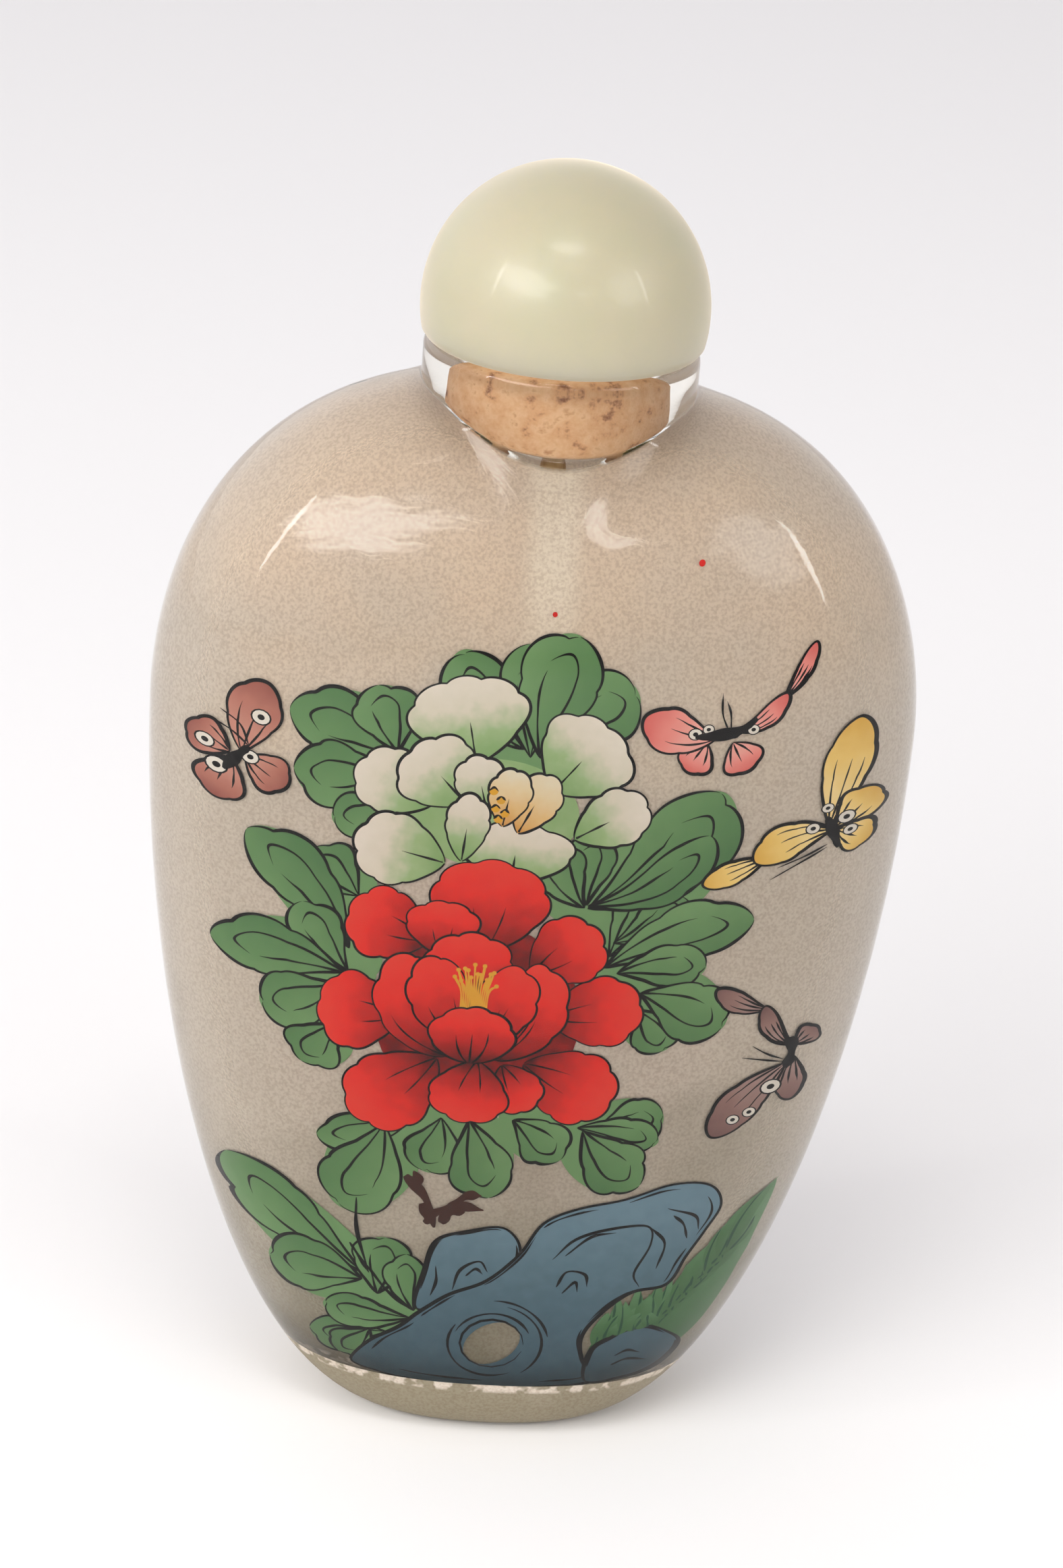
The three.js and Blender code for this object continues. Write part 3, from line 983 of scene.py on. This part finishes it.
# Each butterfly: pigment, wings as base, tip, width and bend, body, feelers, and spots as centre and radius
BUTTERFLIES = (
    (
        "wing_brown",
        (
            ((-18.2, 48.8), (-16.8, 53.6), 3.2, 0.05),
            ((-18.0, 48.6), (-15.4, 47.2), 2.7, 0.0),
            ((-18.9, 48.6), (-21.2, 49.4), 2.6, 0.0),
            ((-18.8, 48.2), (-19.7, 45.2), 2.9, 0.0),
        ),
        ((-19.2, 47.3), (-18.5, 48.4), (-17.8, 49.3)),
        (((-17.8, 49.3), (-18.4, 50.6), (-19.6, 51.2)), ((-17.8, 49.3), (-18.8, 50.0), (-20.0, 50.4))),
        (((-17.2, 51.4), 0.55), ((-19.6, 47.4), 0.6), ((-20.3, 48.8), 0.5), ((-17.7, 48.6), 0.5)),
    ),
    (
        "wing_pink",
        (
            ((15.0, 55.0), (16.7, 58.2), 1.0, -0.06),
            ((12.2, 53.0), (15.2, 55.3), 1.3, -0.12),
            ((10.4, 52.3), (9.3, 50.4), 2.3, 0.0),
            ((12.0, 52.3), (13.2, 50.4), 2.6, 0.0),
            ((10.9, 52.6), (6.4, 54.0), 2.9, 0.08),
        ),
        ((9.6, 52.7), (11.0, 52.8), (12.4, 53.1), (13.4, 53.8)),
        (((11.6, 53.2), (11.2, 54.2), (11.1, 55.5)), ((11.8, 53.2), (11.7, 54.2), (11.4, 55.0))),
        (((9.6, 52.9), 0.42), ((10.4, 53.2), 0.34), ((12.0, 52.9), 0.34), ((13.2, 53.1), 0.36)),
    ),
    (
        "wing_yellow",
        (
            ((18.6, 46.0), (19.9, 52.9), 3.0, 0.0),
            ((19.0, 45.8), (21.0, 47.9), 2.7, -0.05),
            ((19.1, 45.5), (21.1, 44.3), 2.2, 0.0),
            ((14.9, 44.2), (11.0, 42.5), 1.7, 0.0),
            ((18.8, 45.6), (14.2, 43.9), 2.6, -0.12),
        ),
        ((18.4, 46.6), (18.9, 45.4), (19.3, 44.2)),
        (((18.6, 44.6), (17.2, 44.0), (15.6, 43.4)), ((18.6, 44.4), (17.0, 43.6), (15.2, 42.6))),
        (((17.6, 45.9), 0.42), ((19.6, 46.3), 0.5), ((19.9, 45.3), 0.4), ((18.4, 47.2), 0.36)),
    ),
    (
        "wing_mauve",
        (
            ((15.9, 33.1), (12.6, 34.9), 1.5, 0.08),
            ((17.6, 30.0), (15.8, 33.3), 1.3, 0.1),
            ((17.9, 30.0), (19.1, 30.8), 1.7, 0.0),
            ((17.9, 29.0), (17.9, 25.6), 1.7, -0.05),
            ((17.4, 28.6), (13.1, 23.8), 2.8, -0.04),
        ),
        ((17.6, 30.6), (17.7, 29.4), (17.4, 28.2)),
        (((17.2, 28.8), (16.0, 29.2), (14.6, 29.6)), ((17.2, 29.0), (16.2, 29.6), (15.2, 30.4))),
        (((16.6, 27.0), 0.6), ((15.4, 25.3), 0.4), ((14.4, 24.9), 0.4), ((17.7, 29.8), 0.3)),
    ),
)
# Each stray speck: centre, radius
SPECKS = (((0.3, 60.1), 0.16), ((9.2, 63.3), 0.2))


def paint_grass(picture, root_low, root_high, lean, count, reach):
    """A tuft whose blades spring from a line and lean one way."""
    low, high, lean = (np.asarray(p, float) for p in (root_low, root_high, lean))
    for i in range(count):
        base = low + (high - low) * i / (count - 1)
        stray = (0.5 * math.sin(i * 1.7), 0.4 * math.cos(i * 2.1))
        tip = base + lean * reach * (0.75 + 0.25 * math.sin(i * 2.4)) + stray
        outline, spine = blade(base, tip, 1.0, bend=0.08 * math.sin(i * 1.9), belly=0.4, blunt=1.0)
        picture.fill(outline, "grass", along_from(base, tip))
        picture.line(spine[2:34] + (0.2 * (-1) ** i, 0.0), 0.6, "leaf_dark")


def paint_stamens(picture):
    """The tuft of yellow threads over the red cup."""
    middle, count = -2.9, 14
    for i in range(count):
        lean = 2 * i / (count - 1) - 1
        top = (middle + 1.35 * lean, 35.9 + 0.5 * math.sin(i * 2.3) - 0.5 * lean * lean)
        thread = spline([(middle + 0.8 * lean, 32.6), (middle + 0.9 * lean, 34.4), top])
        picture.line(thread, 0.6, "stamen", 0.8, 0.9)
        picture.dot(top, 0.15, "stamen")


def paint_red_peony(picture, phase_step):
    paint_heart(picture, "petal_red", *RED_MIDDLE, 0.12)
    for i, (base, tip, width, bend) in enumerate(RED_PEONY):
        paint_petal(picture, "petal_red", base, tip, width, i * phase_step, bend=bend, ink=0.55)
    paint_stamens(picture)
    paint_petal(picture, "petal_red", *RED_CUP, 0.6, veins=3, belly=0.5)


def paint_white_peony(picture):
    paint_heart(picture, "petal_white", *WHITE_MIDDLE, 0.2)
    for i, (base, tip, width) in enumerate(WHITE_PEONY):
        paint_petal(picture, "petal_white", base, tip, width, i * 1.3, veins=1)
    for i, (base, tip, width, pigment) in enumerate(WHITE_HEART):
        paint_petal(picture, pigment, base, tip, width, i * 0.9, veins=1)
    for x, z in WHITE_STAMENS:
        picture.dot((x, z), 0.28, "stamen")
        picture.line(spline([(x - 0.3, z), (x, z + 0.25), (x + 0.3, z)]), 0.6)


def paint_rock(picture):
    """The pierced rock with its grooves, and the grass round its foot."""
    picture.fill(spline(GRASS, closed=True), "grass", along_from((8.0, 6.0), (15.0, 18.0)))
    for tuft in BACK_TUFTS:
        paint_grass(picture, *tuft)
    for outline in (ROCK_BACK, ROCK, ROCK_FRONT):
        edge = spline(outline, closed=True)
        picture.fill(edge, "rock", along_from((0, 4), (0, 19)))
        picture.line(np.vstack([edge, edge[:1]]), 1.0, start=0.6, end=0.6)
        for start in range(3, len(edge) - 12, 13):
            run = edge[start : start + 8 + start % 5]
            picture.line(run + (edge.mean(0) - run) * (0.07 + 0.02 * math.sin(start)), 0.6)
    paint_grass(picture, *FRONT_TUFT)
    turn = np.linspace(0, 2 * np.pi, 28, endpoint=False)
    hole = np.asarray(ROCK_HOLE) + np.stack([1.85 * np.cos(turn), 1.8 * np.sin(turn + 0.3)], -1)
    picture.fill(hole, None)
    for radius, start, sweep in HOLE_LINES:
        arc = np.linspace(start, start + sweep, 16)
        groove = radius * np.stack([np.cos(arc), 0.95 * np.sin(arc)], -1)
        picture.line(np.asarray(ROCK_HOLE) + groove, 0.7)
    for path in ROCK_LINES:
        picture.line(spline(path), 0.8)


def front_picture(picture):
    """Two peonies over a rock, with butterflies to either side."""
    paint_leaves(picture, TOP_LEAVES + LEFT_LEAVES + RIGHT_LEAVES)
    paint_white_peony(picture)
    paint_leaves(picture, LOWER_LEAVES)
    paint_red_peony(picture, phase_step=1.1)
    for path in TWIG:
        picture.line(spline(path), 2.6, "bark", 0.8, 0.2)
    paint_leaves(picture, ROCK_LEAVES)
    for path in STEMS:
        picture.line(spline(path), 1.0)
    paint_rock(picture)
    for butterfly in BUTTERFLIES:
        paint_butterfly(picture, *butterfly)
    for centre, radius in SPECKS:
        picture.dot(centre, radius, "petal_red")


def back_picture(picture):
    """A plainer spray: the red peony with a few leaves and one butterfly."""
    paint_leaves(picture, LEFT_LEAVES + LOWER_LEAVES)
    paint_red_peony(picture, phase_step=1.7)
    paint_butterfly(picture, *BUTTERFLIES[1])


# Each pigment's tones, from the shaded end of its stroke to the bright end
PIGMENTS = {
    "petal_red": ("cinnabar red, brushed", ("#3c0b0b", "#b81d18", "#ea2b21", "#ec3d2f")),
    "petal_white": ("shell white, brushed", ("#7fa566", "#a0ba86", "#dfd6c4", "#ebe0d3")),
    "petal_cream": ("shell white with gamboge, brushed", ("#d99c4e", "#e6bd7f", "#ead3a8", "#ece0c8")),
    "leaf": ("malachite green, brushed", ("#547c4e", "#658c5a", "#769c68")),
    "leaf_dark": ("malachite green with ink, brushed", ("#274a35", "#2f5a3f")),
    "grass": ("malachite green wash", ("#466d43", "#537d50", "#659062")),
    "rock": ("azurite blue, brushed", ("#445c6a", "#587381", "#7490a0")),
    "ink": ("soot ink, drawn", ("#0b0807", "#100c0a")),
    "white": ("shell white, dotted", ("#e6ddd2", "#ebe4da")),
    "stamen": ("gamboge yellow, dotted", ("#d9971f", "#eab540")),
    "bark": ("umber with ink, drawn", ("#3b211a", "#4b2c22")),
    "wing_brown": ("umber rose, brushed", ("#97564b", "#b67465", "#c98c7c")),
    "wing_pink": ("cinnabar pink, brushed", ("#dd6660", "#ef8f86", "#f2a99f")),
    "wing_yellow": ("gamboge yellow, brushed", ("#e6b34e", "#f6cf78", "#fadc98")),
    "wing_mauve": ("mauve with ink, brushed", ("#7c5a55", "#98746d", "#ab8b84")),
}


def pigment_paint(label, tones):
    # Mineral pigment in glue, laid on the ground wall with a bent brush: flat, matt and a little streaky
    material, tree = new_material(label)
    shade = add_node(tree, "ShaderNodeAttribute", attribute_name="shade").outputs["Fac"]
    place = add_node(tree, "ShaderNodeTexCoord").outputs["Object"]
    # Brush hairs leave streaks of about 0.9 mm
    streak = add_node(
        tree, "ShaderNodeTexNoise", {"Vector": place, "Scale": per_metre(0.9), "Detail": 2.0}
    ).outputs["Fac"]
    uneven = add_node(
        tree, "ShaderNodeMath", {0: streak, 1: 0.35, 2: -0.175}, operation="MULTIPLY_ADD"
    ).outputs["Value"]
    mixed = add_node(tree, "ShaderNodeMath", {0: shade, 1: uneven}, operation="ADD").outputs["Value"]
    stops = [(i / (len(tones) - 1), linear(tone)) for i, tone in enumerate(tones)]
    tone = add_node(tree, "ShaderNodeValToRGB", {"Fac": mixed}, stops=stops).outputs["Color"]
    # The film clings to the glass, so it has no gloss of its own
    shader = add_node(
        tree, "ShaderNodeBsdfPrincipled", {"Base Color": tone, "Roughness": 0.8, "Specular IOR Level": 0.0}
    ).outputs["BSDF"]
    add_node(tree, "ShaderNodeOutputMaterial", {"Surface": shader})
    return material


def lay_paint(name, picture, cavity, side):
    """Lays a picture on the cavity's front (-1) or back (1) wall as one film with no overlaps."""
    points = np.asarray(picture.points)
    low, high = points.min(0), points.max(0)
    # Rows of points between the lines let the film bend with the wall
    pitch, inside_only, weld = 0.5, 1, 1e-4
    rows = [(x, z) for z in np.arange(low[1], high[1], pitch) for x in np.arange(low[0], high[0], pitch)]
    flat, _, faces, _, _, owners = delaunay_2d_cdt(
        [Vector(p) for p in [*picture.points, *rows]], [], picture.faces, inside_only, weld
    )
    flat = np.array([tuple(p) for p in flat])
    pigments = list(PIGMENTS)
    kept, slots, shades = [], [], []
    for face, owner in zip(faces, owners):
        pigment, shade = picture.paint[max(owner)] if owner else (None, None)
        if pigment is not None:
            kept.append(face)
            slots.append(pigments.index(pigment))
            shades.extend(shade(flat[i]) for i in face)
    depth = cavity.face_depth(flat[:, 0], flat[:, 1], PAINT_DEPTH)
    vertices = np.stack([-side * flat[:, 0], side * depth, flat[:, 1]], -1)
    film = new_piece(name, vertices, kept, [pigment_paint(*PIGMENTS[p]) for p in pigments])
    film.data.polygons.foreach_set("material_index", slots)
    film.data.attributes.new("shade", "FLOAT", "CORNER").data.foreach_set("value", shades)


class SNUFFBOTTLE_OT_painting(Operator):
    """Paint the picture on the inner wall, with a plainer spray at the back"""

    bl_idname = "snuff_bottle.painting"
    bl_label = "Inside painting"

    def execute(self, context):
        sizes = context.scene.snuff_bottle_sizes
        pictures = (("painting_front", front_picture, -1), ("painting_back", back_picture, 1))
        for name, paint, side in pictures:
            picture = Picture(sizes.ink_width / MM)
            paint(picture)
            lay_paint(name, picture, cavity_shell(sizes), side)
        return {"FINISHED"}


# Stopper and spoon, in millimetres

CAP_EDGE = 0.4
CAP_RINGS = 48
CORK_EDGE = 0.4
CORK_RINGS = 10
# The cork is squeezed against the bore, so its side is drawn a hair inside the glass
CORK_SQUEEZE = 0.02
CORK_SUNK = 0.05
# A flat end stops this far short of the edge before it turns
FLAT_EDGE = 0.3
SCOOP_LENGTH = 7.0
SCOOP_HALF_WIDTH = 1.6
SCOOP_HALF_THICKNESS = 0.45
# The scoop narrows to the stem from this share of its length
SHANK_START = 0.55
SPOON_SEGMENTS = 24
SCOOP_RINGS = 25
STEM_RINGS = 12


class SNUFFBOTTLE_OT_stopper_cap(Operator):
    """Build the ball-shaped stone cap that sits on the lip"""

    bl_idname = "snuff_bottle.stopper_cap"
    bl_label = "Stopper cap"

    def execute(self, context):
        colours = context.scene.snuff_bottle_colours
        radius = (CAP_HIGH.x - CAP_LOW.x) / MM / 2
        top, seat = CAP_HIGH.z / MM, CAP_LOW.z / MM
        middle = top - radius
        cut = math.sqrt(radius**2 - (middle - seat) ** 2)
        lower = quarter_round(cut - CAP_EDGE, seat + CAP_EDGE, CAP_EDGE, -math.pi / 2, 0.0)
        start = -math.asin((middle - seat - CAP_EDGE) / radius)
        angles = np.linspace(start, math.pi / 2, CAP_RINGS)[:-1]
        ball = [(radius * math.cos(a), middle + radius * math.sin(a)) for a in angles]
        profile = [(0, seat), (cut - CAP_EDGE - FLAT_EDGE, seat), *lower[:-1], *ball, (0, top)]
        vertices, faces = loft([round_ring(r, z) for r, z in profile])
        cap = new_piece("stopper_cap_stone", vertices, faces, [polished_stone(colours)])
        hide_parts("stopper_cap")
        return {"FINISHED"}


class SNUFFBOTTLE_OT_stopper_cork(Operator):
    """Build the cork plug under the cap"""

    bl_idname = "snuff_bottle.stopper_cork"
    bl_label = "Stopper cork"

    def execute(self, context):
        colours = context.scene.snuff_bottle_colours
        top, bottom = CORK_HIGH.z / MM, CORK_LOW.z / MM
        radius = context.scene.snuff_bottle_sizes.bore_radius / MM + CORK_SQUEEZE
        foot = quarter_round(radius - CORK_EDGE, bottom + CORK_EDGE, CORK_EDGE, -math.pi / 2, 0.0)
        climb = np.linspace(1 / CORK_RINGS, 1, CORK_RINGS) * (top - bottom - 2 * CORK_EDGE)
        side = [(radius, bottom + CORK_EDGE + z) for z in climb]
        end = top - CORK_SUNK
        profile = [(0, bottom), *foot, *side, (radius - FLAT_EDGE, end), (0, end)]
        vertices, faces = loft([round_ring(r, z) for r, z in profile])
        plug = new_piece("stopper_cork_plug", vertices, faces, [cut_cork(colours)])
        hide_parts("stopper_cork")
        return {"FINISHED"}


class SNUFFBOTTLE_OT_snuff_spoon(Operator):
    """Build the bamboo spoon that hangs from the cork"""

    bl_idname = "snuff_bottle.snuff_spoon"
    bl_label = "Snuff spoon"

    def execute(self, context):
        colours = context.scene.snuff_bottle_colours
        top, tip = SPOON_HIGH.z / MM, SPOON_LOW.z / MM
        stem = SPOON_HIGH.y / MM
        compass = directions(SPOON_SEGMENTS, 1.0)
        rings = [[(0.0, 0.0, tip)]]
        for s in np.linspace(0, 1, SCOOP_RINGS)[1:]:
            outline = math.sqrt(math.sin(s * math.pi / 2))
            shrink = min(max((s - SHANK_START) / (1 - SHANK_START), 0), 1)
            shrink = shrink * shrink * (3 - 2 * shrink)
            wide = (SCOOP_HALF_WIDTH + (stem - SCOOP_HALF_WIDTH) * shrink) * outline
            thick = (SCOOP_HALF_THICKNESS + (stem - SCOOP_HALF_THICKNESS) * shrink) * outline
            rings.append([(wide * x, thick * y, tip + SCOOP_LENGTH * s) for x, y in compass])
        for s in np.linspace(0, 1, STEM_RINGS)[1:]:
            z = tip + SCOOP_LENGTH + (top - tip - SCOOP_LENGTH) * s
            rings.append([(stem * x, stem * y, z) for x, y in compass])
        rings.append([(0.0, 0.0, top)])
        vertices, faces = loft(rings)
        spoon = new_piece("snuff_spoon_bamboo", vertices, faces, [shaved_bamboo(colours)])
        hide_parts("snuff_spoon")
        return {"FINISHED"}


# Stage, in metres, watts and degrees

FLOOR_REACH = 3.0
FLOOR_SUNK = 0.05 * MM
LIGHT_TARGET = Vector((0, 0, 0.05))
# Each lamp: name, place, size, power; the strips draw thin streaks on the shoulders
LAMPS = (
    ("softbox_left", (-0.38, -0.46, 0.40), (0.95, 0.42), 4.0),
    ("softbox_right", (0.48, -0.40, 0.38), (0.60, 0.48), 1.2),
    ("softbox_high", (-0.03, -0.34, 0.72), (0.55, 0.24), 1.4),
    ("strip_left", (-0.55, -0.25, 0.34), (0.05, 0.50), 0.45),
    ("strip_right", (0.55, -0.25, 0.32), (0.05, 0.50), 0.4),
    ("strip_front", (0.15, -0.72, 0.43), (0.26, 0.10), 0.25),
)
# The camera fitted to the photograph; its focal length and image height are in pixels
IMAGE_HEIGHT = 2324
FOCAL_LENGTH = 6753
SENSOR_MM = 36.0
CAMERA_ELEVATION = 23.03
CAMERA_AZIMUTH = -3.5
CAMERA_ROLL = 4.65
CAMERA_TARGET = Vector((0.0003, 0, 0.04443))
CAMERA_DISTANCE = 0.3


def set_floor(scene, colours):
    x, z = FLOOR_REACH, -FLOOR_SUNK
    mesh = bpy.data.meshes.new("studio_floor")
    mesh.from_pydata([(-x, -x, z), (x, -x, z), (x, x, z), (-x, x, z)], [], [(0, 1, 2, 3)])
    mesh.materials.append(matt_floor(colours))
    floor = bpy.data.objects.new("studio_floor", mesh)
    scene.collection.objects.link(floor)


def set_world(scene):
    """An even, pale surround, dimmer overhead and brighter from the left."""
    world = bpy.data.worlds.new("studio")
    world.use_nodes = True
    tree = world.node_tree
    tree.nodes.clear()
    way = add_node(tree, "ShaderNodeTexCoord").outputs["Generated"]
    ways = add_node(tree, "ShaderNodeSeparateXYZ", {"Vector": way}).outputs
    sky = add_node(
        tree,
        "ShaderNodeValToRGB",
        {"Fac": ways["Z"]},
        stops=[(0.0, linear("#e2e0e0")), (0.35, linear("#e8e6ea")), (1.0, linear("#9f9fa6"))],
    ).outputs["Color"]
    strength = add_node(
        tree,
        "ShaderNodeMapRange",
        {"Value": ways["X"], "From Min": -1.0, "To Min": 1.75, "To Max": 0.76},
    ).outputs["Result"]
    light = add_node(
        tree, "ShaderNodeBackground", {"Color": sky, "Strength": strength}
    ).outputs["Background"]
    add_node(tree, "ShaderNodeOutputWorld", {"Surface": light})
    scene.world = world


def set_lamp(scene, name, place, size, power):
    """A covered lamp whose glow fades to its edges in drawn-out patches, which break up its reflections."""
    lamp = bpy.data.lights.new(name, "AREA")
    lamp.shape = "RECTANGLE"
    lamp.size, lamp.size_y = size
    lamp.energy = power
    lamp.use_nodes = True
    tree = lamp.node_tree
    tree.nodes.clear()
    across = add_node(tree, "ShaderNodeNewGeometry").outputs["Parametric"]
    centred = add_node(
        tree, "ShaderNodeMapping", {"Vector": across, "Location": (-1, -1, 0), "Scale": (2, 2, 1)}
    ).outputs["Vector"]
    fade = add_node(
        tree, "ShaderNodeTexGradient", {"Vector": centred}, gradient_type="SPHERICAL"
    ).outputs["Fac"]
    drawn_out = add_node(
        tree, "ShaderNodeMapping", {"Vector": across, "Scale": (3.0, 9.0, 1.0)}
    ).outputs["Vector"]
    cloud = add_node(
        tree, "ShaderNodeTexNoise", {"Vector": drawn_out, "Scale": 1.0, "Detail": 3.0, "Distortion": 1.6}
    ).outputs["Fac"]
    patchy = add_node(
        tree, "ShaderNodeMath", {0: cloud, 1: 1.5, 2: fade}, operation="MULTIPLY_ADD"
    ).outputs["Value"]
    glow = add_node(
        tree,
        "ShaderNodeMapRange",
        {"Value": patchy, "From Min": 0.98, "From Max": 1.38, "To Max": 2.6},
        interpolation_type="SMOOTHSTEP",
    ).outputs["Result"]
    shine = add_node(tree, "ShaderNodeEmission", {"Strength": glow}).outputs["Emission"]
    add_node(tree, "ShaderNodeOutputLight", {"Surface": shine})
    stand = bpy.data.objects.new(name, lamp)
    stand.location = place
    stand.rotation_mode = "QUATERNION"
    stand.rotation_quaternion = (LIGHT_TARGET - Vector(place)).to_track_quat("-Z", "Y")
    scene.collection.objects.link(stand)


def set_camera(scene):
    lens = bpy.data.cameras.new("camera")
    lens.sensor_width = SENSOR_MM
    lens.lens = SENSOR_MM * FOCAL_LENGTH / IMAGE_HEIGHT
    lens.clip_start = 0.01
    elevation, azimuth, roll = map(math.radians, (CAMERA_ELEVATION, CAMERA_AZIMUTH, CAMERA_ROLL))
    level = Vector((math.sin(azimuth), -math.cos(azimuth), 0)) * math.cos(elevation)
    back = level + Vector((0, 0, math.sin(elevation)))
    right = Vector((math.cos(azimuth), math.sin(azimuth), 0))
    up = back.cross(right)
    rolled_right = right * math.cos(roll) + up * math.sin(roll)
    rolled_up = up * math.cos(roll) - right * math.sin(roll)
    turned = Matrix((rolled_right, rolled_up, back)).transposed()
    camera = bpy.data.objects.new("camera", lens)
    camera.matrix_world = Matrix.Translation(CAMERA_TARGET + back * CAMERA_DISTANCE) @ turned.to_4x4()
    scene.collection.objects.link(camera)
    scene.camera = camera


class SNUFFBOTTLE_OT_stage(Operator):
    """Set the pale floor, the soft studio light and the camera"""

    bl_idname = "snuff_bottle.stage"
    bl_label = "Studio stage"

    def execute(self, context):
        scene = context.scene
        set_floor(scene, scene.snuff_bottle_colours)
        set_world(scene)
        for lamp in LAMPS:
            set_lamp(scene, *lamp)
        scene.view_settings.view_transform = "Standard"
        set_camera(scene)
        return {"FINISHED"}


class SNUFFBOTTLE_PT_sidebar(Panel):
    """Lists the bottle's sizes, colours and pieces"""

    bl_idname = "SNUFFBOTTLE_PT_sidebar"
    bl_label = "Snuff bottle"
    bl_space_type = "VIEW_3D"
    bl_region_type = "UI"
    bl_category = "Snuff bottle"

    def draw(self, context):
        for group in (context.scene.snuff_bottle_sizes, context.scene.snuff_bottle_colours):
            column = self.layout.column(align=True)
            for name in group.__annotations__:
                column.prop(group, name)
        column = self.layout.column(align=True)
        for operator in OPERATORS:
            column.operator(operator.bl_idname)


OPERATORS = (
    SNUFFBOTTLE_OT_glass_body,
    SNUFFBOTTLE_OT_painting,
    SNUFFBOTTLE_OT_stopper_cap,
    SNUFFBOTTLE_OT_stopper_cork,
    SNUFFBOTTLE_OT_snuff_spoon,
    SNUFFBOTTLE_OT_stage,
)
CLASSES = (BottleSizes, BottleColours, *OPERATORS, SNUFFBOTTLE_PT_sidebar)


def register():
    for cls in CLASSES:
        bpy.utils.register_class(cls)
    bpy.types.Scene.snuff_bottle_sizes = PointerProperty(type=BottleSizes)
    bpy.types.Scene.snuff_bottle_colours = PointerProperty(type=BottleColours)


def unregister():
    del bpy.types.Scene.snuff_bottle_colours
    del bpy.types.Scene.snuff_bottle_sizes
    for cls in reversed(CLASSES):
        bpy.utils.unregister_class(cls)


def main():
    register()
    bpy.ops.snuff_bottle.glass_body()
    bpy.ops.snuff_bottle.painting()
    bpy.ops.snuff_bottle.stopper_cap()
    bpy.ops.snuff_bottle.stopper_cork()
    bpy.ops.snuff_bottle.snuff_spoon()
    bpy.ops.snuff_bottle.stage()


if __name__ == "__main__":
    main()
